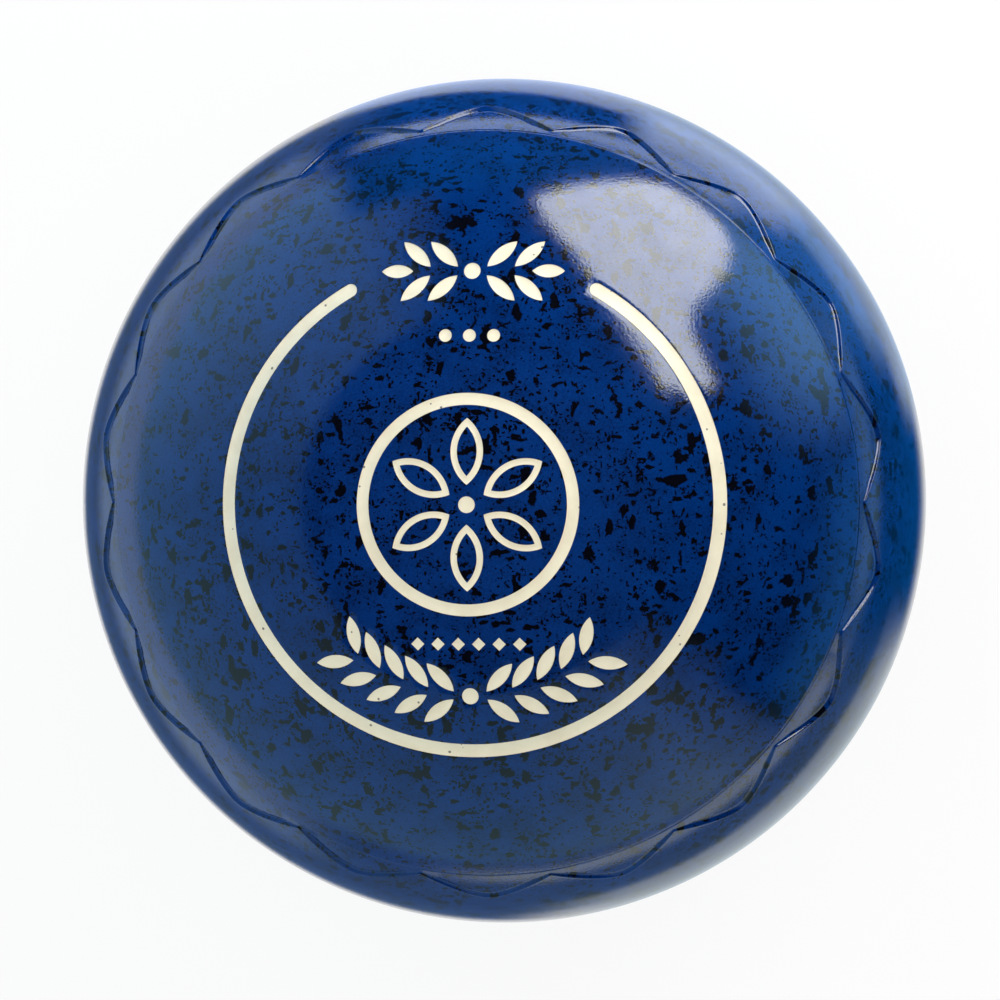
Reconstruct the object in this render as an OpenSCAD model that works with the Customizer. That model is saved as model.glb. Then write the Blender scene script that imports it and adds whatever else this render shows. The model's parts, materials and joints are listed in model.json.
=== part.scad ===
// Lawn bowl, one solid moulding with a scalloped grip on both sides and paint-filled engraving.
// Millimetres. +Z is the bowl's axis: the side with the large ring faces up, and the bowl lies on
// its bias side, whose pole is the origin.

/* [Bowl] */
// Diameter over the crown of the running surface
bowl_d = 121.4; // [116:0.2:131]
// Height of the large-ring side above the crown
ring_side_h = 53.9; // [51:0.1:57]
// Height of the bias side below the crown, a little more than the other side
bias_side_h = 55.1; // [52:0.1:58]
// Radius of the running surface, seen in section
sole_r = 48; // [44:0.5:52]

/* [Grip] */
// Distance from the crown in to the edge of the face
grip_inset = 9.5; // [8.5:0.1:11]
// Depth of the grip below the running surface
grip_depth = 0.8; // [0.5:0.05:1.1]
// How far the turned wall at the face's edge leans out
lip_draft = 0.45; // [0.2:0.05:0.7]
// Number of scoops around each side
scoop_n = 18; // [14:1:22]
// Length of a scoop over the surface, from the face's edge to its tip
scoop_reach = 6.9; // [5.6:0.1:8]
// Distance over the surface from the face's edge to the cusp between two scoops
cusp_gap = 1.3; // [0.9:0.1:1.8]
// Slope of a scoop's wall at its tip
scoop_slope = 45; // [38:1:58]
// Height of a scoop's cone point over the surface: more makes a rounder tip
scoop_point_h = 2.6; // [1.8:0.1:4]

/* [Engraving] */
// Depth of the engraving below the face
mark_depth = 0.6; // [0.4:0.05:1]
// How far the paint stays below the face
paint_drop = 0.1; // [0.04:0.02:0.3]
// Width of the thin engraved strokes
stroke = 0.85; // [0.6:0.05:1.1]

/* [Rings] */
// Radius of the large open ring
large_ring_r = 32.9; // [31:0.1:36]
// Width of the large ring
large_ring_w = 1.8; // [1.2:0.1:2.4]
// Angle left open at the top of the large ring
large_ring_gap = 60; // [48:1:72]
// Radius of the small closed ring
small_ring_r = 13.9; // [12:0.1:15]
// Width of the small ring
small_ring_w = 1.6; // [1.1:0.1:2.2]
// Radius of the ring on the bias side
bias_ring_r = 14.6; // [12:0.1:17]
// Width of the ring on the bias side
bias_ring_w = 1.6; // [1.1:0.1:2.2]

/* [Marks] */
// Petals in a rosette
petal_n = 6; // [5:1:8]
// Widest part of a petal
petal_w = 4.3; // [3.4:0.1:5]
// Distance from the rosette's centre to the petals
petal_start = 2.6; // [2.4:0.1:3.4]
// Room between the petals and the ring around them
petal_room = 1.7; // [1:0.1:2.6]
// Radius of the rosette's centre bead
bead_r = 1.1; // [0.7:0.05:1.4]
// Room between the sprig and the ends of the large ring
sprig_room = 3.3; // [2.6:0.1:4.5]
// Width of a leaf
leaf_w = 1.8; // [1.3:0.1:2]
// Angle that the leaves spread from their stem line
leaf_spread = 42; // [36:1:48]
// Distance of the sprig's stem line inside the large ring
sprig_drop = 1.9; // [1:0.1:2.5]
// Radius of the wreath's stem line
wreath_r = 25.4; // [24.6:0.1:26.4]
// Angle that the wreath covers to each side
wreath_span = 42; // [36:1:46]
// Leaf pairs to each side of the wreath's centre
wreath_n = 5; // [4:1:5]
// Distance from the centre up to the pips
pips_y = 22.3; // [21.4:0.1:23.4]
// Pips in the row
pips_n = 3; // [1:1:4]
// Distance from one pip to the next
pips_pitch = 3.2; // [2.4:0.1:4]
// Radius of a pip
pip_r = 0.85; // [0.6:0.05:1.1]
// Distance from the centre down to the lozenges
lozenge_y = 18.4; // [17.6:0.1:19]
// Lozenges in the row
lozenge_n = 6; // [3:1:7]
// Distance from one lozenge to the next
lozenge_pitch = 2.7; // [2.2:0.1:3.1]
// Side of a lozenge
lozenge_side = 1.25; // [0.9:0.05:1.4]

/* [Hidden] */
$fn = 128;

resin_blue = [0.02, 0.17, 0.42];
paint_cream = [0.9, 0.88, 0.8];

// The section: a running-surface arc about a point off the axis, and a face dome through each pole
// and the face's edge.
sole_c = bowl_d / 2 - sole_r;
lip_r = bowl_d / 2 - grip_inset;
lip_a = acos((lip_r - sole_c) / sole_r);
lip_z = sole_r * sin(lip_a) + 0.1;
function dome_r(h) = (lip_r ^ 2 + (h - lip_z) ^ 2) / (2 * (h - lip_z));

// The scoop's cone in the section plane: it runs through the tip and through both cusps.
tip_a = lip_a - scoop_reach / sole_r * 180 / PI;
cusp_a = lip_a - cusp_gap / sole_r * 180 / PI;
tip = sole_point(tip_a);
cusp = sole_point(cusp_a);
out_s = [sin(tip_a), -cos(tip_a)];
out_n = [cos(tip_a), sin(tip_a)];
point_s = scoop_point_h / tan(scoop_slope);
cusp_half = 180 / scoop_n;
cusp_rel = [cusp.x * cos(cusp_half) - tip.x, cusp.y - tip.y];
to_tip = unit([0, -point_s, -scoop_point_h]);
to_cusp = unit([cusp.x * sin(cusp_half), cusp_rel * out_s - point_s, cusp_rel * out_n - scoop_point_h]);
axis_k = (to_tip.y - to_cusp.y) / (to_cusp.z - to_tip.z);
cone_axis = unit([0, -1, -axis_k]);
cone_half = acos(cone_axis * to_tip);
cone_len = point_s + scoop_reach + 7;
cone_dir = cone_axis.y * out_s + cone_axis.z * out_n;
cone_point = tip + point_s * out_s + scoop_point_h * out_n;

sprig_half = large_ring_r * sin(large_ring_gap / 2) - large_ring_w / 2 - sprig_room;
leaf_len = sprig_half * 0.42;

function unit(v) = v / norm(v);
function sole_point(a) = [sole_c + sole_r * cos(a), sole_r * sin(a)];

// Children are drawn with the crown's plane at zero and the side's pole upwards.
module on_ring_side() {
  translate([0, 0, bias_side_h]) children();
}

module on_bias_side() {
  translate([0, 0, bias_side_h]) rotate([180, 0, 0]) children();
}

// The running surface outside the face's edge, and inside it a core that ends in the two domes
module blank_section() {
  intersection() {
    translate([sole_c, 0]) circle(sole_r);
    translate([lip_r, -bowl_d]) square([bowl_d, 2 * bowl_d]);
  }
  intersection() {
    translate([0, -bowl_d]) square([lip_r, 2 * bowl_d]);
    dome_side(ring_side_h);
    mirror([0, 1]) dome_side(bias_side_h);
  }
}

// Everything below the dome of one side, with that side up
module dome_side(h) {
  translate([0, h - dome_r(h)]) circle(dome_r(h));
  translate([-1, -2 * bowl_d]) square([lip_r + 2, 2 * bowl_d]);
}

// The band outside the grip's floor and outside the leaning wall at the face's edge
module channel_band() {
  rotate_extrude() difference() {
    polygon([[lip_r, lip_z + 6], [lip_r, lip_z], [lip_r + lip_draft, lip_z - 3 * grip_depth],
             [lip_r + lip_draft, 6], [bowl_d / 2 + 4, 6], [bowl_d / 2 + 4, lip_z + 6]]);
    translate([sole_c, 0]) circle(sole_r - grip_depth);
  }
}

module scoop_cone() {
  translate([cone_point.x, 0, cone_point.y])
    rotate([0, atan2(cone_dir.x, cone_dir.y), 0])
      cylinder(h = cone_len, r1 = 0, r2 = cone_len * tan(cone_half));
}

module scoops() {
  for (i = [0 : scoop_n - 1]) {
    intersection() {
      channel_band();
      rotate([0, 0, 90 + i * 360 / scoop_n]) scoop_cone();
    }
  }
}

// A plan outline sunk into a side's face, down to the engraving's floor
module engraved(h) {
  difference() {
    translate([0, 0, lip_z]) linear_extrude(height = h - lip_z + 1) children();
    translate([0, 0, h - dome_r(h)]) sphere(dome_r(h) - mark_depth);
  }
}

// The paint in an engraved outline
module painted(h) {
  intersection() {
    engraved(h) children();
    translate([0, 0, h - dome_r(h)]) sphere(dome_r(h) - paint_drop);
  }
}

module ring_plan(r, w) {
  difference() {
    circle(r + w / 2);
    circle(r - w / 2);
  }
}

// The open ring ends in round noses, a hair narrower than the ring.
module large_ring_plan() {
  difference() {
    ring_plan(large_ring_r, large_ring_w);
    polygon([[0, 0], 2 * large_ring_r * [-sin(large_ring_gap / 2), cos(large_ring_gap / 2)],
             [0, 3 * large_ring_r],
             2 * large_ring_r * [sin(large_ring_gap / 2), cos(large_ring_gap / 2)]]);
  }
  for (side = [-1, 1]) {
    rotate([0, 0, side * large_ring_gap / 2]) translate([0, large_ring_r])
      circle(large_ring_w / 2 - 0.02);
  }
}

// A pointed leaf along +X from the origin, drawn by two arcs; trim shrinks both arcs
module leaf(len, wide, trim = 0) {
  arc_r = (len ^ 2 + wide ^ 2) / (4 * wide);
  intersection() {
    translate([len / 2, arc_r - wide / 2]) circle(arc_r - trim);
    translate([len / 2, wide / 2 - arc_r]) circle(arc_r - trim);
  }
}

module rosette_plan(ring_r, ring_w) {
  petal_len = ring_r - ring_w / 2 - petal_room - petal_start;
  circle(bead_r);
  for (i = [0 : petal_n - 1]) {
    rotate([0, 0, 90 + i * 360 / petal_n]) translate([petal_start, 0]) difference() {
      leaf(petal_len, petal_w);
      leaf(petal_len, petal_w, stroke);
    }
  }
}

module leaf_pair(gap) {
  for (side = [-1, 1]) {
    translate([0, side * gap]) rotate([0, 0, side * leaf_spread]) leaf(leaf_len, leaf_w);
  }
}

module sprig_plan() {
  translate([0, large_ring_r - sprig_drop]) {
    circle(bead_r);
    for (side = [0, 180]) {
      rotate([0, 0, side]) {
        translate([sprig_half * 0.16, 0]) leaf_pair(0.6);
        translate([sprig_half * 0.46, 0]) leaf_pair(0.6);
        translate([sprig_half * 0.65, 0]) leaf(sprig_half * 0.35, leaf_w);
      }
    }
  }
}

module wreath_plan() {
  translate([0, -wreath_r]) circle(bead_r);
  for (side = [-1, 1]) {
    for (i = [0 : wreath_n - 1]) {
      rotate([0, 0, side * (5 + i * (wreath_span - 10) / (wreath_n - 1))])
        translate([0, -wreath_r]) scale([side, 1]) leaf_pair(0.55);
    }
  }
}

module pips_plan() {
  for (i = [0 : pips_n - 1]) {
    translate([(i - (pips_n - 1) / 2) * pips_pitch, pips_y]) circle(pip_r);
  }
}

module lozenge_plan() {
  for (i = [0 : lozenge_n - 1]) {
    translate([(i - (lozenge_n - 1) / 2) * lozenge_pitch, -lozenge_y]) rotate([0, 0, 45])
      square(lozenge_side, center = true);
  }
}

module bowl_body() {
  color(resin_blue) difference() {
    on_ring_side() rotate_extrude() blank_section();
    on_ring_side() scoops();
    on_bias_side() scoops();
    on_ring_side() engraved(ring_side_h) large_ring_plan();
    on_ring_side() engraved(ring_side_h) ring_plan(small_ring_r, small_ring_w);
    on_ring_side() engraved(ring_side_h) rosette_plan(small_ring_r, small_ring_w);
    on_ring_side() engraved(ring_side_h) sprig_plan();
    on_ring_side() engraved(ring_side_h) pips_plan();
    on_ring_side() engraved(ring_side_h) lozenge_plan();
    on_ring_side() engraved(ring_side_h) wreath_plan();
    on_bias_side() engraved(bias_side_h) ring_plan(bias_ring_r, bias_ring_w);
    on_bias_side() engraved(bias_side_h) rosette_plan(bias_ring_r, bias_ring_w);
  }
}

module large_ring_paint() {
  color(paint_cream) on_ring_side() painted(ring_side_h) large_ring_plan();
}

module small_ring_paint() {
  color(paint_cream) on_ring_side() painted(ring_side_h) ring_plan(small_ring_r, small_ring_w);
}

module rosette_paint() {
  color(paint_cream) on_ring_side() painted(ring_side_h) rosette_plan(small_ring_r, small_ring_w);
}

module sprig_paint() {
  color(paint_cream) on_ring_side() painted(ring_side_h) sprig_plan();
}

module pips_paint() {
  color(paint_cream) on_ring_side() painted(ring_side_h) pips_plan();
}

module lozenge_paint() {
  color(paint_cream) on_ring_side() painted(ring_side_h) lozenge_plan();
}

module wreath_paint() {
  color(paint_cream) on_ring_side() painted(ring_side_h) wreath_plan();
}

module bias_ring_paint() {
  color(paint_cream) on_bias_side() painted(bias_side_h) ring_plan(bias_ring_r, bias_ring_w);
}

module bias_rosette_paint() {
  color(paint_cream) on_bias_side() painted(bias_side_h) rosette_plan(bias_ring_r, bias_ring_w);
}

bowl_body();
large_ring_paint();
small_ring_paint();
rosette_paint();
sprig_paint();
pips_paint();
lozenge_paint();
wreath_paint();
bias_ring_paint();
bias_rosette_paint();
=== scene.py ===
import json
import math
import bpy
import bmesh
import numpy as np
from mathutils import Matrix, Vector
from mathutils.geometry import delaunay_2d_cdt

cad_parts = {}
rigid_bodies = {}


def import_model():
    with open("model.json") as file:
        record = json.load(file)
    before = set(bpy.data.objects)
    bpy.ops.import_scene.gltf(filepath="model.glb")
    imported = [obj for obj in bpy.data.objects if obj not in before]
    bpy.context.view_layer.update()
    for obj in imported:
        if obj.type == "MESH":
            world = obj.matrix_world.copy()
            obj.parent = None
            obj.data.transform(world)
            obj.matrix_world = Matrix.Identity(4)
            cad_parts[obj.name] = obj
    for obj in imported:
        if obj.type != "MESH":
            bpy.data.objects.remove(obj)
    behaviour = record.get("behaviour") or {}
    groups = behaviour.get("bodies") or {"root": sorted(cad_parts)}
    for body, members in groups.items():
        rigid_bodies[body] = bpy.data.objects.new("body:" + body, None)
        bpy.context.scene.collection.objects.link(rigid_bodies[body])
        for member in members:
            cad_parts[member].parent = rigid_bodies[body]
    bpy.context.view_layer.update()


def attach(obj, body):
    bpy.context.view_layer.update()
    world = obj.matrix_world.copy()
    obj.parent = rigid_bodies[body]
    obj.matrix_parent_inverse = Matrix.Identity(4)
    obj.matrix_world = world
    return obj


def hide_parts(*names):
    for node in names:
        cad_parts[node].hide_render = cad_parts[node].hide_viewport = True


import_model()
mm = 0.001

# the bowl's sizes in millimetres, as in the solids
bowl = {
    "diameter": 121.4,
    "ringSideHeight": 53.9,
    "biasSideHeight": 55.1,
    "soleRadius": 48.0,
    "lipStep": 0.1,       # the face's edge stands this much over the running arc
}
grip = {
    "inset": 9.5,
    "depth": 0.8,
    "scoops": 18,
    "reach": 6.9,
    "cuspGap": 1.3,
    "slope": 45.0,
    "pointHeight": 2.6,
    "columns": 40,        # mesh columns in each scoop
    "edgeRound": 0.13,    # how far the polish runs over the scoops' top edges
    "lipRound": 0.40,
    "lipDraft": 0.05,     # how far the small wall under the face's edge leans out
    "cornerRise": 0.16,   # the round at that wall's foot, up the wall
    "cornerRun": 0.28,    # and along the hollow
    "toeRun": 0.3,        # the round where the hollow meets the scoop's wall
    "floorShare": 0.2,    # the most that a round takes of the hollow,
    "lipShare": 0.4,      # of the wall under the face's edge
    "wallShare": 0.3,     # and of the scoop's wall
    "rows": {"lip": 6, "corner": 5, "floor": 12, "toe": 7, "brow": 5},
    "runOut": 0.60,       # how much of the full depth the hollow has left after polishing
    "narrow": 3.2,        # where a scoop is narrower than this its hollow gets shallower
    "least": 0.42,        # down to this share
    "straight": 0.85,     # how far the outline is drawn straight between tip and cusp
    "tipRound": 0.17,
    # mesh rows from the grip to the crown, close together beside the grip
    "soleRows": (0.01, 0.025, 0.055, 0.1, 0.16, 0.24, 0.33, 0.43, 0.54, 0.66, 0.78, 0.89, 1.0),
}

soleCentre = bowl["diameter"] / 2 - bowl["soleRadius"]
lipRadius = bowl["diameter"] / 2 - grip["inset"]
lipAngle = math.acos((lipRadius - soleCentre) / bowl["soleRadius"])
lipHeight = bowl["soleRadius"] * math.sin(lipAngle) + bowl["lipStep"]


def domeRadius(height):
    rise = height - lipHeight
    return (lipRadius ** 2 + rise ** 2) / (2 * rise)


def onFace(plan, depth, height):
    # plan points sunk a depth below the face dome, crown plane at zero and pole up
    plan = np.asarray(plan, float)
    radius = domeRadius(height)
    z = height - radius + np.sqrt((radius - depth) ** 2 - (plan ** 2).sum(1))
    return np.column_stack([plan, z])


def toFrame(points, side):
    # ring side is up as it stands, bias side is turned over
    points = np.array(points, float)
    if side == "bias":
        points[:, 1:] *= -1
    points[:, 2] += bowl["biasSideHeight"]
    return points * mm


def onArc(angle, radius):
    # section points, out from the axis and up, on an arc about the sole's centre
    return np.column_stack([soleCentre + radius * np.cos(angle), radius * np.sin(angle)])


def scoopCone():
    # the scoop's outline: a cone through the scoop's tip and both its cusps
    tipA = lipAngle - grip["reach"] / bowl["soleRadius"]
    cuspA = lipAngle - grip["cuspGap"] / bowl["soleRadius"]
    tip, cusp = onArc(np.array([tipA, cuspA]), bowl["soleRadius"])
    outS = np.array([math.sin(tipA), -math.cos(tipA)])
    outN = np.array([math.cos(tipA), math.sin(tipA)])
    pointS = grip["pointHeight"] / math.tan(math.radians(grip["slope"]))
    half = math.pi / grip["scoops"]
    rel = np.array([cusp[0] * math.cos(half) - tip[0], cusp[1] - tip[1]])
    toTip = np.array([0, -pointS, -grip["pointHeight"]])
    toCusp = np.array([cusp[0] * math.sin(half), rel @ outS - pointS, rel @ outN - grip["pointHeight"]])
    toTip, toCusp = toTip / np.linalg.norm(toTip), toCusp / np.linalg.norm(toCusp)
    k = (toTip[1] - toCusp[1]) / (toCusp[2] - toTip[2])
    axis = np.array([0, -1, -k]) / math.sqrt(1 + k * k)
    direction = axis[1] * outS + axis[2] * outN
    point = tip + pointS * outS + grip["pointHeight"] * outN
    return point, direction, axis @ toTip


def scoopEdge(theta, depth, below=0.1, above=0.25, halvings=50):
    # angle on the running arc where the scoop's wall stands, at this depth, for each azimuth
    point, direction, cosHalf = scoopCone()
    low = np.full_like(theta, lipAngle - grip["reach"] / bowl["soleRadius"] - below)
    high = np.full_like(theta, lipAngle + above)
    for _ in range(halvings):
        mid = (low + high) / 2
        r, z = onArc(mid, bowl["soleRadius"] - depth).T
        v = np.column_stack([r * np.cos(theta) - point[0], r * np.sin(theta), z - point[1]])
        inside = (v[:, 0] * direction[0] + v[:, 2] * direction[1]) > np.linalg.norm(v, axis=1) * cosHalf
        high = np.where(inside, mid, high)
        low = np.where(inside, low, mid)
    return high


def rounded(start, corner, end, steps):
    t = np.linspace(0, 1, steps + 1)[:, None, None]
    return list((1 - t) ** 2 * start + 2 * t * (1 - t) * corner + t ** 2 * end)


def towards(a, b, most, share):
    # from a to b by a length, or by a share of the way where that is shorter
    d = b - a
    whole = np.linalg.norm(d, axis=1)
    return a + d * (np.minimum(most, share * whole) / whole)[:, None]


def rimSection(height):
    # for every column of one scoop, the section from the face's edge over the grip to the crown
    half = math.pi / grip["scoops"]
    theta = np.linspace(-half, half, grip["columns"] + 1)
    n = len(theta)
    sole, deep = bowl["soleRadius"], grip["depth"]
    topA, lowA = scoopEdge(theta, 0.0), scoopEdge(theta, deep)
    aside, soft = np.abs(theta) / half, grip["tipRound"]
    tipA, cuspA = topA[n // 2], topA[0]
    drawn = tipA + (cuspA - tipA) * (np.hypot(aside, soft) - soft) / (math.hypot(1, soft) - soft)
    shift = (drawn - topA) * grip["straight"]
    topA, lowA = topA + shift, lowA + shift
    top, low = onArc(topA, sole), onArc(lowA, sole - deep)
    lip = np.tile([lipRadius, lipHeight], (n, 1))
    # the wall runs out towards the cusps, where the scoop is narrow
    left = grip["runOut"] * np.clip((lipAngle - topA) * sole / grip["narrow"], grip["least"], 1.0)
    foot = top + (low - top) * left[:, None]
    # the hollow follows the round of the bowl from the face's edge to the wall under the scoop's outline
    floorR = sole - deep * left
    startA = np.arccos((lipRadius + grip["lipDraft"] - soleCentre) / floorR)
    endA = np.arctan2(foot[:, 1], foot[:, 0] - soleCentre)
    wide = (startA - endA) * floorR
    floorAt = lambda t: onArc(startA + (endA - startA) * t, floorR)
    early = np.minimum(grip["cornerRun"], grip["floorShare"] * wide) / wide
    late = 1 - np.minimum(grip["toeRun"], grip["floorShare"] * wide) / wide
    # the dome's edge, broken with a small round
    tilt = math.asin(lipRadius / domeRadius(height))
    inward = lip + grip["lipRound"] * np.array([-math.cos(tilt), math.sin(tilt)])
    corner = floorAt(0.0)
    below = towards(lip, corner, grip["lipRound"] / 2, grip["lipShare"])
    above = towards(corner, lip, grip["cornerRise"], grip["lipShare"])
    brow = towards(top, foot, grip["edgeRound"], grip["wallShare"])
    overA = topA - grip["edgeRound"] / sole
    count = grip["rows"]
    rows = rounded(inward, lip, below, count["lip"])
    rows += rounded(above, corner, floorAt(early), count["corner"])
    rows += [floorAt(early + (late - early) * t) for t in np.linspace(0, 1, count["floor"])[1:]]
    rows += rounded(floorAt(late), foot, brow, count["toe"])[1:]
    rows += rounded(brow, top, onArc(overA, sole), count["brow"])[1:]
    rows += [onArc(overA * (1 - f), sole) for f in grip["soleRows"]]
    return theta, rows


# engraved marks are nested outlines, drawn by how far they are set in from the mark's edge
marks = {
    "depth": 0.6,
    "edgeRound": 0.07,      # polish over the engraving's edge
    "edgeSteps": ((-1, 0), (-0.55, 0.1), (-0.2, 0.4), (0, 1), (0, 1.6)),   # in and down, in edge rounds
    "wallDraft": 0.004,
    "floorRows": (0.25, 0.5, 0.75, 1.0),
    "paintEdge": 0.07,      # the paint climbs to this depth at the wall
    "paintSag": 0.13,       # and sags this much more in the middle
    "paintRows": (0.1, 0.25, 0.45, 0.7),
    "paintGap": 0.02,       # under the paint and beside its foot
    "shoulderGap": 0.006,   # beside the paint just below its edge
    "shoulderDrop": 0.05,
    "edgeGap": 0.004,       # beside the paint's edge
    "stroke": 0.85,
}


def circlePoints(r, count, centre=(0, 0)):
    a = np.linspace(0, 2 * math.pi, count, endpoint=False)
    return np.column_stack([centre[0] + r * np.cos(a), centre[1] + r * np.sin(a)])


def dotMark(r, centre, count=40):
    return {"outer": lambda t: circlePoints(max(r - t, 0), count, centre), "inner": None, "half": r}


def ringMark(r, w, count=360):
    return {
        "outer": lambda t: circlePoints(r + w / 2 - t, count),
        "inner": lambda t: circlePoints(r - w / 2 + t, count),
        "half": w / 2,
    }


def openRingMark(r, w, gap, count=300, nose=12):
    g = math.radians(gap / 2)
    sweep = np.linspace(math.pi / 2 + g, math.pi / 2 + 2 * math.pi - g, count)

    def outline(t):
        h = max(w / 2 - t, 0)
        arc = lambda rad, a: np.column_stack([rad * np.cos(a), rad * np.sin(a)])
        turn = np.linspace(0, math.pi, nose + 2)[1:-1]
        cap = lambda a, s: r * np.array([math.cos(a), math.sin(a)]) + arc(h, a + s)
        return np.vstack([arc(r + h, sweep), cap(sweep[-1], turn),
                          arc(r - h, sweep[::-1]), cap(sweep[0], turn + math.pi)])

    return {"outer": outline, "inner": None, "half": w / 2}


def leafOutline(length, wide, t, count=22, least=1e-6):
    arcR = (length ** 2 + wide ** 2) / (4 * wide)
    off = arcR - wide / 2
    rad = max(arcR - t, off + least)
    a = math.acos(min(1.0, off / rad))
    s = np.linspace(-a, a, count)
    lower = np.column_stack([length / 2 + rad * np.sin(s), off - rad * np.cos(s)])
    upper = np.column_stack([length / 2 - rad * np.sin(s), rad * np.cos(s) - off])
    return np.vstack([lower[:-1], upper[:-1]])


def placed(points, angle, shift):
    c, s = math.cos(math.radians(angle)), math.sin(math.radians(angle))
    return points @ np.array([[c, s], [-s, c]]) + np.asarray(shift, float)


def leafMark(length, wide, angle, shift, then=0.0):
    def outline(t):
        return placed(placed(leafOutline(length, wide, t), angle, shift), then, (0, 0))
    return {"outer": outline, "inner": None, "half": wide / 2}


def petalMark(length, wide, start, angle):
    stroke = marks["stroke"]
    line = lambda t: placed(leafOutline(length, wide, t, rosette["petalPoints"]) + [start, 0], angle, (0, 0))
    return {"outer": line, "inner": lambda t: line(stroke - t), "half": stroke / 2}


def lozengeMark(side, centre):
    corners = np.array([[1, 0], [0, 1], [-1, 0], [0, -1]], float)

    def outline(t):
        r = max(side / 2 - t, 0) * math.sqrt(2)
        pts = [corners[i] * (1 - f) + corners[(i + 1) % 4] * f
               for i in range(4) for f in lozenges["edgePoints"]]
        return np.array(pts) * r + np.asarray(centre, float)

    return {"outer": outline, "inner": None, "half": side / 2}


largeRing = {"radius": 32.9, "width": 1.8, "gap": 60.0}
smallRing = {"radius": 13.9, "width": 1.6}
biasRing = {"radius": 14.6, "width": 1.6}
rosette = {"petals": 6, "petalWidth": 4.3, "start": 2.6, "room": 1.7, "bead": 1.1, "petalPoints": 34}
sprig = {
    "room": 3.3, "drop": 1.9, "gap": 0.6, "spread": 42.0, "leafWidth": 1.8,
    "leafShare": 0.42, "pairStarts": (0.16, 0.46),   # shares of half the sprig
    "endLeafShare": 0.35, "endLeafStart": 0.65,
}
wreath = {"radius": 25.4, "span": 42.0, "start": 5.0, "pairs": 5, "gap": 0.55}
pips = {"y": 22.3, "count": 3, "pitch": 3.2, "radius": 0.85}
lozenges = {"y": 18.4, "count": 6, "pitch": 2.7, "side": 1.25, "edgePoints": (0, 0.06, 0.5, 0.94)}

gapHalf = largeRing["radius"] * math.sin(math.radians(largeRing["gap"] / 2))
sprigHalf = gapHalf - largeRing["width"] / 2 - sprig["room"]
leafLength = sprigHalf * sprig["leafShare"]


def rosetteMarks(ring):
    length = ring["radius"] - ring["width"] / 2 - rosette["room"] - rosette["start"]
    made = [dotMark(rosette["bead"], (0, 0))]
    for i in range(rosette["petals"]):
        angle = 90 + i * 360 / rosette["petals"]
        made.append(petalMark(length, rosette["petalWidth"], rosette["start"], angle))
    return made


def sprigMarks():
    y = largeRing["radius"] - sprig["drop"]
    made = [dotMark(rosette["bead"], (0, y))]
    for turn, c in ((0, 1), (180, -1)):
        for along in sprig["pairStarts"]:
            for side in (-1, 1):
                made.append(leafMark(leafLength, sprig["leafWidth"], turn + side * sprig["spread"],
                                     (c * sprigHalf * along, y + c * side * sprig["gap"])))
        made.append(leafMark(sprigHalf * sprig["endLeafShare"], sprig["leafWidth"], turn,
                             (c * sprigHalf * sprig["endLeafStart"], y)))
    return made


def wreathMarks():
    made = [dotMark(rosette["bead"], (0, -wreath["radius"]))]
    step = (wreath["span"] - 2 * wreath["start"]) / (wreath["pairs"] - 1)
    for way in (-1, 1):
        for i in range(wreath["pairs"]):
            for side in (-1, 1):
                angle = side * sprig["spread"] if way > 0 else 180 - side * sprig["spread"]
                made.append(leafMark(leafLength, sprig["leafWidth"], angle,
                                     (0, -wreath["radius"] + side * wreath["gap"]),
                                     way * (wreath["start"] + i * step)))
    return made


def rowOf(row, y):
    # middles of a row of small marks
    return [((i - (row["count"] - 1) / 2) * row["pitch"], y) for i in range(row["count"])]


ringSideMarks = {
    "large_ring_paint": [openRingMark(largeRing["radius"], largeRing["width"], largeRing["gap"])],
    "small_ring_paint": [ringMark(smallRing["radius"], smallRing["width"])],
    "rosette_paint": rosetteMarks(smallRing),
    "sprig_paint": sprigMarks(),
    "pips_paint": [dotMark(pips["radius"], at) for at in rowOf(pips, pips["y"])],
    "lozenge_paint": [lozengeMark(lozenges["side"], at) for at in rowOf(lozenges, -lozenges["y"])],
    "wreath_paint": wreathMarks(),
}
biasSideMarks = {
    "bias_ring_paint": [ringMark(biasRing["radius"], biasRing["width"])],
    "bias_rosette_paint": rosetteMarks(biasRing),
}
sides = (
    ("ring", bowl["ringSideHeight"], ringSideMarks),
    ("bias", bowl["biasSideHeight"], biasSideMarks),
)


class Shell:
    # gathers points and faces of one piece, in frame metres
    def __init__(self):
        self.points, self.faces, self.total = [], [], 0

    def add(self, points):
        self.points.append(np.asarray(points, float))
        first = self.total
        self.total += len(points)
        return first

    def strip(self, a, b, count):
        for i in range(count):
            j = (i + 1) % count
            self.faces.append((a + i, a + j, b + j, b + i))

    def build(self, name, weld=2e-7):
        mesh = bpy.data.meshes.new(name)
        mesh.from_pydata(np.vstack(self.points).tolist(), [], self.faces)
        work = bmesh.new()
        work.from_mesh(mesh)
        bmesh.ops.remove_doubles(work, verts=work.verts, dist=weld)
        bmesh.ops.dissolve_degenerate(work, dist=weld, edges=work.edges)
        bmesh.ops.recalc_face_normals(work, faces=work.faces)
        work.to_mesh(mesh)
        work.free()
        mesh.shade_smooth()
        piece = bpy.data.objects.new(name, mesh)
        bpy.context.scene.collection.objects.link(piece)
        return piece


def crossings(points, loop):
    # which points lie inside a closed outline
    inside = np.zeros(len(points), bool)
    lo, hi = loop.min(0), loop.max(0)
    near = np.where(((points > lo) & (points < hi)).all(1))[0]
    if not len(near):
        return inside
    p = points[near]
    hit = np.zeros(len(near), bool)
    for (x0, y0), (x1, y1) in zip(loop, np.roll(loop, -1, 0)):
        if y0 == y1:
            continue
        spans = (y0 > p[:, 1]) != (y1 > p[:, 1])
        hit ^= spans & (p[:, 0] < (x1 - x0) * (p[:, 1] - y0) / (y1 - y0) + x0)
    inside[near] = hit
    return inside


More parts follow.
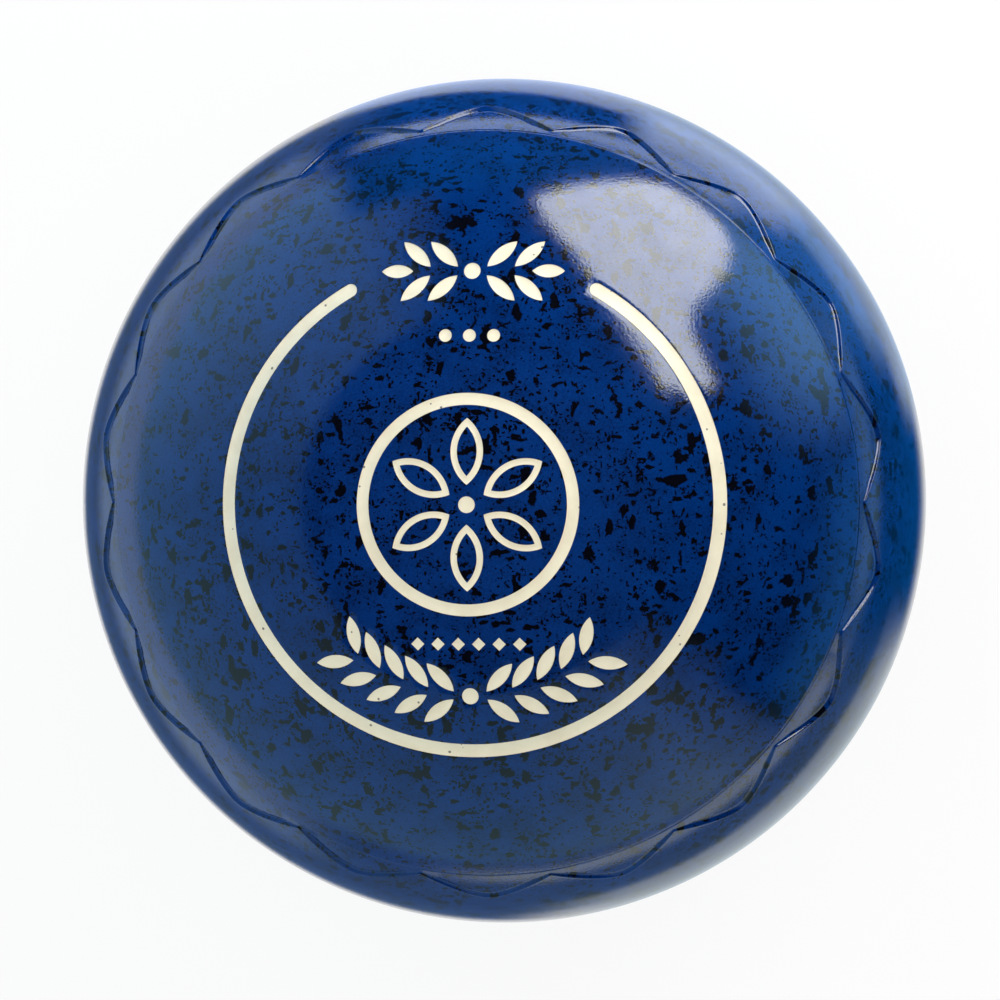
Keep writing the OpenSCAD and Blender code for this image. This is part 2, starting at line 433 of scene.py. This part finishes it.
# mesh of the domed faces: rings of points, finer where the marks are
faceMesh = {
    "first": 0.7, "fine": 1.1, "coarse": 1.5, "coarseFrom": 37, "packed": 0.9, "fewest": 6,
    "clear": 0.28, "rimClear": 0.5,   # how far the points keep from the outlines and the rim
    "weld": 1e-7,
}


def facePoints(loops, outer, batch=40):
    # points over the face that keep clear of every outline
    rings, r = [], faceMesh["first"]
    while r < outer - faceMesh["rimClear"]:
        step = faceMesh["fine"] if r < faceMesh["coarseFrom"] else faceMesh["coarse"]
        rings.append(circlePoints(r, max(faceMesh["fewest"], int(2 * math.pi * r / step))))
        r += step * faceMesh["packed"]
    grid = np.vstack(rings)
    clear = np.ones(len(grid), bool)
    for loop in loops:
        for start in range(0, len(loop), batch):
            part = loop[start:start + batch]
            clear &= (np.linalg.norm(grid[:, None] - part[None], axis=2).min(1) > faceMesh["clear"])
    return grid[clear]


def faceDome(shell, side, height, group, rimPlan):
    # the domed face: a plan mesh between the rim and the marks' outlines, lifted onto the dome
    edge = marks["edgeRound"]
    holes = [mark[line](-edge) for mark in group for line in ("outer", "inner") if mark[line]]
    loops = [rimPlan] + holes
    outer = np.linalg.norm(rimPlan[0])
    verts, edges, base = [], [], 0
    for loop in loops:
        verts += [Vector(p) for p in loop]
        edges += [(base + i, base + (i + 1) % len(loop)) for i in range(len(loop))]
        base += len(loop)
    verts += [Vector(p) for p in facePoints(loops, outer)]
    flat, _, tris, _, _, _ = delaunay_2d_cdt(verts, edges, [], 0, faceMesh["weld"])
    flat = np.array([list(p) for p in flat])
    tris = np.array([t for t in tris])
    middle = flat[tris].mean(1)
    odd = np.zeros(len(tris), bool)
    for loop in holes:
        odd ^= crossings(middle, loop)
    inRim = np.linalg.norm(middle, axis=1) < outer
    first = shell.add(toFrame(onFace(flat, 0.0, height), side))
    shell.faces += [tuple(int(i) + first for i in t) for t in tris[~odd & inRim]]


def wall(shell, mark, line, steps, side, height):
    # outlines joined one below another; gives the first and the last, and their length
    first = last = None
    for inset, depth in steps:
        loop = mark[line](inset)
        at = shell.add(toFrame(onFace(loop, depth, height), side))
        if last is None:
            first = at
        else:
            shell.strip(last, at, len(loop))
        last = at
    return first, last, len(loop)


def nest(shell, mark, side, height, last, count, depth):
    # closes a mark with outlines nested towards its middle
    for f in marks["floorRows"]:
        at = shell.add(toFrame(onFace(mark["outer"](mark["half"] * f), depth, height), side))
        shell.strip(last, at, count)
        last = at


def engraving(shell, side, height, group):
    # the rounded edge, the walls and the floor of each engraved mark
    edge, deep = marks["edgeRound"], marks["depth"]
    steps = [(edge * inset, edge * down) for inset, down in marks["edgeSteps"]] + [(marks["wallDraft"], deep)]
    for mark in group:
        _, last, count = wall(shell, mark, "outer", steps, side, height)
        if mark["inner"]:
            shell.strip(last, wall(shell, mark, "inner", steps, side, height)[1], count)
        else:
            nest(shell, mark, side, height, last, count, deep)


def bowlBody():
    shell = Shell()
    scoops = grip["scoops"]
    for side, height, markSets in sides:
        theta, rows = rimSection(height)
        around = np.concatenate([theta[:-1] + k * 2 * math.pi / scoops for k in range(scoops)]) + math.pi / 2
        last = None
        for row in rows:
            rz = np.tile(row[:-1], (scoops, 1))
            points = np.column_stack([rz[:, 0] * np.cos(around), rz[:, 0] * np.sin(around), rz[:, 1]])
            if last is None:
                rimPlan = points[:, :2].copy()
                points[:, 2] = onFace(rimPlan, 0.0, height)[:, 2]
            at = shell.add(toFrame(points, side))
            if last is not None:
                shell.strip(last, at, len(points))
            last = at
        group = [mark for made in markSets.values() for mark in made]
        faceDome(shell, side, height, group, rimPlan)
        engraving(shell, side, height, group)
        print("bowl side meshed:", side)
    return shell.build("bowlBody")


def paintFill(name, group, side, height):
    # the paint climbs the walls a little and sags in the middle; it stops just over the engraving's floor
    shell = Shell()
    low = marks["depth"] - marks["paintGap"]
    sag = lambda f: marks["paintEdge"] + marks["paintSag"] * (1 - (1 - f) ** 2)
    for mark in group:
        steps = [(marks["paintGap"], low), (marks["shoulderGap"], marks["paintEdge"] + marks["shoulderDrop"])]
        steps += [(marks["edgeGap"], sag(0))] + [(mark["half"] * f, sag(f)) for f in marks["paintRows"]]
        lines = [wall(shell, mark, line, steps, side, height) for line in ("outer", "inner") if mark[line]]
        middle = shell.add(toFrame(onFace(mark["outer"](mark["half"]), sag(1), height), side))
        for _, last, count in lines:
            shell.strip(last, middle, count)
        bottom, _, count = lines[0]
        if mark["inner"]:
            shell.strip(bottom, lines[1][0], count)
        else:
            nest(shell, mark, side, height, bottom, count, low)
    return shell.build(name)


body = bowlBody()
print("bowl body:", len(body.data.polygons), "faces")
paints = {}
for sideName, sideHeight, markSets in sides:
    for nodeName, group in markSets.items():
        first, *rest = nodeName.split("_")
        pieceName = first + "".join(w.capitalize() for w in rest)
        paints[nodeName] = paintFill(pieceName, group, sideName, sideHeight)
print("paint fills:", len(paints))


def feed(tree, socket, value):
    # a socket takes another node's output or a plain value
    if isinstance(value, bpy.types.NodeSocket):
        tree.links.new(value, socket)
    elif value is not None:
        socket.default_value = value


def addNode(tree, kind, **values):
    node = tree.nodes.new(kind)
    for name, value in values.items():
        feed(tree, node.inputs[name.replace("_", " ")], value)
    return node


def maths(tree, operation, a, b=None, c=None):
    node = tree.nodes.new("ShaderNodeMath")
    node.operation = operation
    for i, value in enumerate((a, b, c)):
        feed(tree, node.inputs[i], value)
    return node.outputs[0]


def vectorMaths(tree, operation, a, b=None, scale=None):
    node = tree.nodes.new("ShaderNodeVectorMath")
    node.operation = operation
    feed(tree, node.inputs[0], a)
    feed(tree, node.inputs[1], b)
    if scale is not None:   # the socket is there only when scaling
        feed(tree, node.inputs["Scale"], scale)
    return node.outputs[0]


def smooth(tree, value, low, high, to0=0.0, to1=1.0):
    node = tree.nodes.new("ShaderNodeMapRange")
    node.interpolation_type = "SMOOTHSTEP"
    names = ("Value", "From Min", "From Max", "To Min", "To Max")
    for name, v in zip(names, (value, low, high, to0, to1)):
        feed(tree, node.inputs[name], v)
    return node.outputs[0]


def mixColour(tree, factor, a, b):
    node = tree.nodes.new("ShaderNodeMix")
    node.data_type = "RGBA"
    for i, value in ((0, factor), (6, a), (7, b)):
        feed(tree, node.inputs[i], value)
    return node.outputs[2]


def mixShader(tree, factor, a, b, out):
    node = tree.nodes.new("ShaderNodeMixShader")
    for i, value in enumerate((factor, a, b)):
        feed(tree, node.inputs[i], value)
    tree.links.new(node.outputs[0], out.inputs["Surface"])


noiseSpan = (0.3, 0.7)   # where nearly all of a noise's values lie


def noise(tree, vector, scale, detail, rough, distortion=0.0):
    return addNode(tree, "ShaderNodeTexNoise", Vector=vector, Scale=scale, Detail=detail, Roughness=rough,
                   Distortion=distortion)


def grey(tree, place, field):
    # a noise field's values, spread between two levels
    value = noise(tree, place, *field["noise"]).outputs[0]
    return smooth(tree, value, *field["from"], *field.get("to", (0.0, 1.0)))


def inMillimetres(tree):
    where = tree.nodes.new("ShaderNodeTexCoord")
    return vectorMaths(tree, "SCALE", where.outputs["Object"], scale=1 / mm)


def cellsOf(tree, place, size):
    cells = addNode(tree, "ShaderNodeTexVoronoi", Vector=place, Scale=size)
    split = addNode(tree, "ShaderNodeSeparateColor", Color=cells.outputs["Color"])
    return cells.outputs["Distance"], split.outputs[0], split.outputs[1]


# flecks: each layer is a field of torn shards, sizes in millimetres
# a noise is its scale, detail and roughness, and for the pepper its distortion
composition = {
    "blue": (0.0001, 0.0300, 0.180, 1),
    "blueDeep": (0.0001, 0.0115, 0.075, 1),
    "fleck": (0.0012, 0.0014, 0.0040, 1),
    "rough": (0.08, 0.13),
    "ior": 1.65,
    "grain": (2.8, 1.5, 0.6),
    "grainHeight": 0.000012,
    "torn": (0.75, 3.0, 0.6), "tornBy": 2.6,
    "finer": (3.2, 4.0, 0.85), "finerBy": 4.2, "finerShare": 0.45,
    # where the large flecks gather, and where those of small cells do
    "crowd": {"noise": (0.085, 2.0, 0.5), "from": (0.30, 0.68), "to": (0.22, 0.82)},
    "flock": {"noise": (0.32, 2.0, 0.5), "from": (0.34, 0.68), "to": (0.08, 1.0)},
    "smallCell": 0.5,
    "clouds": {"noise": (0.16, 3.0, 0.6), "from": (0.36, 0.66)},
    "pepper": {"noise": (2.4, 4.0, 0.75, 0.4), "from": (0.56, 0.63)},
    "mottle": {"noise": (3.4, 3.0, 0.7), "from": (0.3, 0.7)},
    "pepperShare": (0.5, 0.25), "cloudShare": 0.38, "mottleShare": 0.55,
    "apart": (13.7, 5.1, 29.3),   # each layer is moved on by this
    "layers": [
        # cell size, share of cells filled, stretch, turn, tear
        {"cell": 2.1, "fill": 0.008, "stretch": (0.62, 1.15, 1.0), "turn": (0.3, 0.5, 0.9), "tear": 0.60},
        {"cell": 1.15, "fill": 0.052, "stretch": (1.15, 0.6, 0.9), "turn": (1.1, 0.2, 2.2), "tear": 0.46},
        {"cell": 0.70, "fill": 0.055, "stretch": (0.65, 1.2, 0.8), "turn": (0.7, 1.3, 0.4), "tear": 0.34},
        {"cell": 0.40, "fill": 0.050, "stretch": (1.1, 0.7, 1.0), "turn": (2.0, 0.6, 1.4), "tear": 0.20},
        {"cell": 0.25, "fill": 0.046, "stretch": (0.8, 1.1, 0.9), "turn": (0.4, 2.1, 0.8), "tear": 0.10},
    ],
}


def fleckLayer(tree, place, torn, finer, crowd, layer, index):
    turned = addNode(tree, "ShaderNodeMapping", Vector=place, Rotation=layer["turn"], Scale=layer["stretch"],
                     Location=[d * index for d in composition["apart"]]).outputs[0]
    shift = vectorMaths(tree, "SCALE", torn, scale=layer["tear"])
    finerShift = vectorMaths(tree, "SCALE", finer, scale=layer["tear"] * composition["finerShare"])
    moved = vectorMaths(tree, "ADD", vectorMaths(tree, "ADD", turned, shift), finerShift)
    _, draw, _ = cellsOf(tree, moved, 1.0 / layer["cell"])
    return maths(tree, "LESS_THAN", draw, maths(tree, "MULTIPLY", crowd, layer["fill"] * 2))


def flecked():
    material = bpy.data.materials.new("fleckedComposition")
    material.use_nodes = True
    tree = material.node_tree
    shader = tree.nodes["Principled BSDF"]
    place = inMillimetres(tree)

    def pushed(field, by):
        centred = vectorMaths(tree, "SUBTRACT", noise(tree, place, *field).outputs["Color"], (0.5, 0.5, 0.5))
        return vectorMaths(tree, "SCALE", centred, scale=by)

    torn = pushed(composition["torn"], composition["tornBy"])
    finer = pushed(composition["finer"], composition["finerBy"])
    crowd, flock = grey(tree, place, composition["crowd"]), grey(tree, place, composition["flock"])
    dark = None
    for i, layer in enumerate(composition["layers"]):
        where = crowd if layer["cell"] > composition["smallCell"] else flock
        one = fleckLayer(tree, place, torn, finer, where, layer, i + 1)
        dark = one if dark is None else maths(tree, "MAXIMUM", dark, one)
    # fine peppering and mottling between the flecks
    clouds, mottle = grey(tree, place, composition["clouds"]), grey(tree, place, composition["mottle"])
    pepper = maths(tree, "MULTIPLY", grey(tree, place, composition["pepper"]),
                   maths(tree, "MULTIPLY_ADD", clouds, *composition["pepperShare"]))
    depth = maths(tree, "MULTIPLY_ADD", clouds, composition["cloudShare"],
                  maths(tree, "MULTIPLY", mottle, composition["mottleShare"]))
    ground = mixColour(tree, depth, composition["blue"], composition["blueDeep"])
    ground = mixColour(tree, pepper, ground, composition["fleck"])
    tree.links.new(mixColour(tree, dark, ground, composition["fleck"]), shader.inputs["Base Color"])
    grain = noise(tree, place, *composition["grain"]).outputs[0]
    tree.links.new(smooth(tree, grain, *noiseSpan, *composition["rough"]), shader.inputs["Roughness"])
    bump = addNode(tree, "ShaderNodeBump", Strength=1.0, Distance=composition["grainHeight"], Height=grain)
    tree.links.new(bump.outputs[0], shader.inputs["Normal"])
    shader.inputs["IOR"].default_value = composition["ior"]
    return material


enamel = {
    "cream": (0.85, 0.790, 0.625, 1),
    "shade": (0.79, 0.72, 0.555, 1),
    "pinhole": (0.05, 0.05, 0.06, 1),
    "rough": (0.34, 0.48),
    "shine": 0.25,
    "wash": (0.22, 3.0, 0.6), "washSpan": (0.35, 0.7),
    "grain": (3.0, 3.0, 0.6),
    "grainHeight": 0.00005, "grainShare": 0.15,
    "holeCells": 0.55, "holesFilled": 0.5, "holeSize": 0.05, "holeSpread": 0.07,
    "holeEdge": 0.02, "holeDark": 0.8,
}


def creamEnamel():
    material = bpy.data.materials.new("creamEnamel")
    material.use_nodes = True
    tree = material.node_tree
    shader = tree.nodes["Principled BSDF"]
    place = inMillimetres(tree)
    wash = noise(tree, place, *enamel["wash"]).outputs[0]
    colour = mixColour(tree, smooth(tree, wash, *enamel["washSpan"]), enamel["cream"], enamel["shade"])
    away, draw, spread = cellsOf(tree, place, enamel["holeCells"])
    filled = maths(tree, "LESS_THAN", draw, enamel["holesFilled"])
    size = maths(tree, "MULTIPLY_ADD", spread, enamel["holeSpread"], enamel["holeSize"])
    inside = maths(tree, "SUBTRACT", maths(tree, "MULTIPLY", size, filled), away)
    hole = smooth(tree, inside, -enamel["holeEdge"], enamel["holeEdge"])
    colour = mixColour(tree, maths(tree, "MULTIPLY", hole, enamel["holeDark"]), colour, enamel["pinhole"])
    tree.links.new(colour, shader.inputs["Base Color"])
    tree.links.new(smooth(tree, wash, *noiseSpan, *enamel["rough"]), shader.inputs["Roughness"])
    grain = noise(tree, place, *enamel["grain"]).outputs[0]
    bump = addNode(tree, "ShaderNodeBump", Strength=enamel["grainShare"], Distance=enamel["grainHeight"],
                   Height=grain)
    tree.links.new(bump.outputs[0], shader.inputs["Normal"])
    shader.inputs["Specular IOR Level"].default_value = enamel["shine"]
    return material


body.data.materials.append(flecked())
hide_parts("bowl_body")
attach(body, "root")
cream = creamEnamel()
for nodeName, piece in paints.items():
    piece.data.materials.append(cream)
    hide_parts(nodeName)
    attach(piece, "root")
print("finishes set")


def plainMesh(name, points, faces):
    mesh = bpy.data.meshes.new(name)
    mesh.from_pydata(points, [], faces)
    made = bpy.data.objects.new(name, mesh)
    bpy.context.scene.collection.objects.link(made)
    return made


def bareMaterial(name):
    material = bpy.data.materials.new(name)
    material.use_nodes = True
    tree = material.node_tree
    tree.nodes.clear()
    return material, tree, tree.nodes.new("ShaderNodeOutputMaterial")


def coords(tree, kind):
    return tree.nodes.new("ShaderNodeTexCoord").outputs[kind]


floorSet = {"size": 8.0, "white": (0.92, 0.92, 0.92, 1), "glow": 0.88}


def paleFloor():
    # a plain white floor that keeps the bowl's shadow
    material, tree, out = bareMaterial("paleFloor")
    matte = addNode(tree, "ShaderNodeBsdfDiffuse", Color=floorSet["white"])
    bright = addNode(tree, "ShaderNodeEmission", Color=(1, 1, 1, 1), Strength=1.0)
    path = tree.nodes.new("ShaderNodeLightPath")
    seen = maths(tree, "MAXIMUM", path.outputs["Is Glossy Ray"], path.outputs["Is Transmission Ray"])
    seen = maths(tree, "MAXIMUM", path.outputs["Is Camera Ray"], seen)
    mixShader(tree, maths(tree, "MULTIPLY", seen, floorSet["glow"]), matte.outputs[0], bright.outputs[0], out)
    return material


floorHalf = floorSet["size"] / 2
corners = [(x * floorHalf, y * floorHalf, 0) for x, y in ((-1, -1), (1, -1), (1, 1), (-1, 1))]
floor = plainMesh("floor", corners, [(0, 1, 2, 3)])
floor.data.materials.append(paleFloor())
target = Vector((0, 0, bowl["biasSideHeight"] * mm))

# the window: a bright pane to the upper right, outline in millimetres on its own plane
window = {
    "azimuth": 58.0, "rise": 4.0, "distance": 0.30,
    "strength": 6.6, "colour": (0.97, 1.0, 1.0, 1),
    "uneven": (120.0, 2.0, 0.6), "unevenBy": 0.25,
    "outline": [(144, 49), (114, 19), (80, -9), (53, -35), (29, -49), (-1, -51), (-32, -41), (-50, -24),
                (-62, 9), (-66, 53), (-66, 95), (-88, 125), (-122, 142), (-166, 156), (-161, 185),
                (-127, 240), (-79, 217), (-21, 192), (42, 150), (96, 108), (126, 83)],
}


def windowPane():
    a, e = math.radians(window["azimuth"]), math.radians(window["rise"])
    away = Vector((math.cos(a) * math.cos(e), math.sin(a) * math.cos(e), math.sin(e)))
    across = Vector((-math.sin(a), math.cos(a), 0))
    tall = away.cross(across)
    middle = target + away * window["distance"]
    points = [middle + across * (u * mm) + tall * (v * mm) for u, v in window["outline"]]
    pane = plainMesh("windowPane", points, [tuple(range(len(points)))])
    material, tree, out = bareMaterial("windowLight")
    # the pane is a little uneven, as glass with daylight behind it
    uneven = noise(tree, coords(tree, "Object"), *window["uneven"]).outputs[0]
    low, high = (window["strength"] * (1 + way * window["unevenBy"]) for way in (-1, 1))
    level = smooth(tree, uneven, *noiseSpan, low, high)
    glow = addNode(tree, "ShaderNodeEmission", Color=window["colour"], Strength=level)
    tree.links.new(glow.outputs[0], out.inputs["Surface"])
    pane.data.materials.append(material)
    pane.visible_camera = False


# a pale screen stands round the bowl's left and near sides, dimmer upwards; its light changes by compass
screen = {
    "from": 98.0, "to": 330.0, "radius": 0.36, "foot": 0.0005, "height": 0.40, "fall": 0.56,
    "lights": [(100, (0.0, 0.0, 0.0)), (122, (0.54, 0.96, 1.38)), (148, (0.52, 0.94, 1.34)),
               (180, (0.27, 0.53, 0.68)), (225, (0.32, 0.54, 0.62)), (270, (0.30, 0.52, 0.58)),
               (305, (0.49, 0.71, 0.78)), (328, (0.0, 0.0, 0.0))],
}


def screenLight():
    material, tree, out = bareMaterial("screenLight")
    where = addNode(tree, "ShaderNodeSeparateXYZ", Vector=coords(tree, "Object"))
    compass = maths(tree, "ARCTAN2", where.outputs[1], where.outputs[0])
    compass = maths(tree, "FRACT", maths(tree, "MULTIPLY", compass, 0.5 / math.pi))
    ramp = tree.nodes.new("ShaderNodeValToRGB")
    while len(ramp.color_ramp.elements) < len(screen["lights"]):
        ramp.color_ramp.elements.new(0.5)
    # the lights are halved on the ramp and doubled again in the strength
    for element, (degrees, light) in zip(ramp.color_ramp.elements, screen["lights"]):
        element.position = degrees / 360.0
        element.color = (light[0] / 2, light[1] / 2, light[2] / 2, 1)
    tree.links.new(compass, ramp.inputs[0])
    level = maths(tree, "MULTIPLY_ADD", where.outputs[2], -2 * screen["fall"] / screen["height"], 2.0)
    glow = addNode(tree, "ShaderNodeEmission", Color=ramp.outputs[0], Strength=level)
    tree.links.new(glow.outputs[0], out.inputs["Surface"])
    return material


def bentCard(name, start, end, inner, outer, material, steps=48):
    # a strip bent round the bowl between two lines of radius and height
    # a third number is the radius at the far end, where the line closes in
    points, faces, layout = [], [], []
    for i in range(steps + 1):
        a = math.radians(start + (end - start) * i / steps)
        for line in (inner, outer):
            r = line[0] + (line[-1] - line[0]) * i / steps if len(line) == 3 else line[0]
            points.append((r * math.cos(a), r * math.sin(a), line[1]))
        if i:
            faces.append((2 * i - 2, 2 * i, 2 * i + 1, 2 * i - 1))
            layout += [((i - 1) / steps, 0), (i / steps, 0), (i / steps, 1), ((i - 1) / steps, 1)]
    made = plainMesh(name, points, faces)
    for corner, uv in zip(made.data.uv_layers.new(name="card").data, layout):
        corner.uv = uv
    made.data.materials.append(material)
    made.visible_camera = False
    return made


def softLight(name, light, ends, inside, outside):
    # even light that fades out towards the card's edges
    material, tree, out = bareMaterial(name)
    where = addNode(tree, "ShaderNodeSeparateXYZ", Vector=coords(tree, "UV"))
    along, across = where.outputs[0], where.outputs[1]
    level = smooth(tree, along, 0.0, ends)
    level = maths(tree, "MULTIPLY", level, smooth(tree, along, 1.0 - ends, 1.0, 1.0, 0.0))
    level = maths(tree, "MULTIPLY", level, smooth(tree, across, 0.0, inside))
    level = maths(tree, "MULTIPLY", level, smooth(tree, across, 1.0 - outside, 1.0, 1.0, 0.0))
    clear = tree.nodes.new("ShaderNodeBsdfTransparent")
    glow = addNode(tree, "ShaderNodeEmission", Color=(*light, 1), Strength=1.0)
    mixShader(tree, level, clear.outputs[0], glow.outputs[0], out)
    return material


# soft cards that only the gloss sees, as flags and bounce cards lie and stand round a glossy ball: the dim
# cards lying on the floor are painted shade of the floor round the bowl, and the bright ones painted light on
# it, seen only in the bowl's reflections
# soft: the share that fades at the ends, on the inside and on the outside
cards = [
    {"name": "roundShade", "from": -180, "to": 180, "inner": (0.092, 0.0006), "outer": (0.362, 0.0006),
     "light": (0.10, 0.24, 0.46), "soft": (0.0005, 0.08, 0.01)},
    {"name": "leftBounce", "from": 100, "to": 252, "inner": (0.100, 0.0010), "outer": (0.361, 0.0010),
     "light": (0.64, 0.86, 1.12), "soft": (0.22, 0.05, 0.02)},
    {"name": "nearShade", "from": 236, "to": 336, "inner": (0.100, 0.0012), "outer": (0.361, 0.0012),
     "light": (0.15, 0.25, 0.39), "soft": (0.14, 0.02, 0.02)},
    {"name": "nearRing", "from": 252, "to": 344, "inner": (0.182, 0.00125), "outer": (0.340, 0.00125),
     "light": (1.05, 1.18, 1.20), "soft": (0.20, 0.24, 0.62)},
    {"name": "cornerShade", "from": 4, "to": 66, "inner": (0.112, 0.0013), "outer": (0.310, 0.0013),
     "light": (0.10, 0.42, 1.05), "soft": (0.22, 0.10, 0.05)},
    {"name": "farShade", "from": 68, "to": 124, "inner": (0.106, 0.0014, 0.096), "outer": (0.346, 0.0014),
     "light": (0.005, 0.10, 0.38), "soft": (0.14, 0.04, 0.05)},
    {"name": "lowPane", "from": 48, "to": 118, "inner": (0.178, 0.0018), "outer": (0.250, 0.0018),
     "light": (1.40, 1.75, 2.40), "soft": (0.14, 0.15, 0.20)},
    {"name": "cornerMid", "from": 8, "to": 76, "inner": (0.090, 0.0022), "outer": (0.146, 0.0022),
     "light": (0.60, 1.02, 1.75), "soft": (0.16, 0.25, 0.35)},
    {"name": "rightShade", "from": 330, "to": 390, "inner": (0.070, 0.0026), "outer": (0.360, 0.0026),
     "light": (0.0, 0.11, 0.36), "soft": (0.24, 0.07, 0.05)},
    {"name": "rightRing", "from": -30, "to": 40, "inner": (0.178, 0.0027), "outer": (0.300, 0.0027),
     "light": (0.30, 0.62, 1.00), "soft": (0.30, 0.25, 0.45)},
    {"name": "nearBounce", "from": 266, "to": 348, "inner": (0.062, 0.0028), "outer": (0.124, 0.0028),
     "light": (0.76, 0.86, 0.90), "soft": (0.28, 0.01, 0.14)},
    {"name": "farBounce", "from": 70, "to": 120, "inner": (0.062, 0.0028), "outer": (0.1215, 0.0028, 0.098),
     "light": (0.74, 0.90, 1.25), "soft": (0.14, 0.01, 0.07)},
    {"name": "cornerBounce", "from": 8, "to": 80, "inner": (0.062, 0.0029), "outer": (0.112, 0.0029),
     "light": (0.66, 0.82, 1.02), "soft": (0.14, 0.01, 0.40)},
    {"name": "cornerPane", "from": 42, "to": 76, "inner": (0.082, 0.0030), "outer": (0.190, 0.0030),
     "light": (1.30, 1.58, 2.05), "soft": (0.24, 0.25, 0.25)},
    # leftShade is the bowl's shadow on the floor, cast away from the window, painted as a dim card
    {"name": "leftShade", "from": 106, "to": 278, "inner": (0.088, 0.0031, 0.077), "outer": (0.166, 0.0031),
     "light": (0.11, 0.19, 0.34), "soft": (0.08, 0.14, 0.58)},
    {"name": "sideFlag", "from": -42, "to": 104, "inner": (0.352, 0.0005), "outer": (0.352, 0.1900),
     "light": (0.004, 0.012, 0.030), "soft": (0.03, 0.005, 0.15)},
    {"name": "farFlag", "from": 66, "to": 122, "inner": (0.345, 0.0005), "outer": (0.345, 0.1280),
     "light": (0.01, 0.16, 0.45), "soft": (0.12, 0.01, 0.30)},
    {"name": "cornerGlow", "from": 5, "to": 66, "inner": (0.336, 0.0005), "outer": (0.336, 0.2350),
     "light": (0.72, 1.50, 2.35), "soft": (0.40, 0.01, 0.85)},
    {"name": "rightFlag", "from": -44, "to": 14, "inner": (0.302, 0.0005), "outer": (0.302, 0.1100),
     "light": (0.06, 0.32, 0.75), "soft": (0.25, 0.01, 0.75)},
]

windowPane()
bentCard("paleScreen", screen["from"], screen["to"], (screen["radius"], screen["foot"]),
         (screen["radius"], screen["height"]), screenLight())
for card in cards:
    made = bentCard(card["name"], card["from"], card["to"], card["inner"], card["outer"],
                    softLight(card["name"], card["light"], *card["soft"]))
    made.visible_diffuse = made.visible_shadow = False

overhead = {"strength": 2.9, "colour": (1.0, 0.965, 0.90), "spread": 100.0, "lean": (-0.16, -0.12)}
sky = bpy.data.lights.new("overhead", "SUN")
sky.energy = overhead["strength"]
sky.color = overhead["colour"]
sky.angle = math.radians(overhead["spread"])
lamp = bpy.data.objects.new("overhead", sky)
lamp.rotation_mode = "QUATERNION"
lamp.rotation_quaternion = Vector((*overhead["lean"], 1)).to_track_quat("Z", "Y")
lamp.visible_glossy = False
bpy.context.scene.collection.objects.link(lamp)

room = {"colour": (1, 1, 1, 1), "strength": 0.008}
world = bpy.data.worlds.new("room")
bpy.context.scene.world = world
world.use_nodes = True
world.node_tree.nodes["Background"].inputs["Color"].default_value = room["colour"]
world.node_tree.nodes["Background"].inputs["Strength"].default_value = room["strength"]

cameraSet = {
    "distance": 0.572, "tilt": 5.27, "azimuth": 6.1, "aside": (-0.00052, 0.0001),
    "focal": 142.5, "sensor": 36.0, "clip": (0.01, 20),
}
camera = bpy.data.objects.new("camera", bpy.data.cameras.new("camera"))
bpy.context.scene.collection.objects.link(camera)
t, a = math.radians(cameraSet["tilt"]), math.radians(cameraSet["azimuth"])
away = Vector((math.sin(t) * math.cos(a), math.sin(t) * math.sin(a), math.cos(t)))
camera.location = target + away * cameraSet["distance"] + Vector((*cameraSet["aside"], 0))
camera.rotation_mode = "QUATERNION"
across = Vector((0, 1, 0)).cross(away).normalized()   # image up follows +Y
camera.rotation_quaternion = Matrix((across, away.cross(across), away)).transposed().to_quaternion()
camera.data.lens = cameraSet["focal"]
camera.data.sensor_width = cameraSet["sensor"]
camera.data.clip_start, camera.data.clip_end = cameraSet["clip"]
bpy.context.scene.camera = camera
bpy.context.scene.view_settings.view_transform = "Standard"
print("stage set")
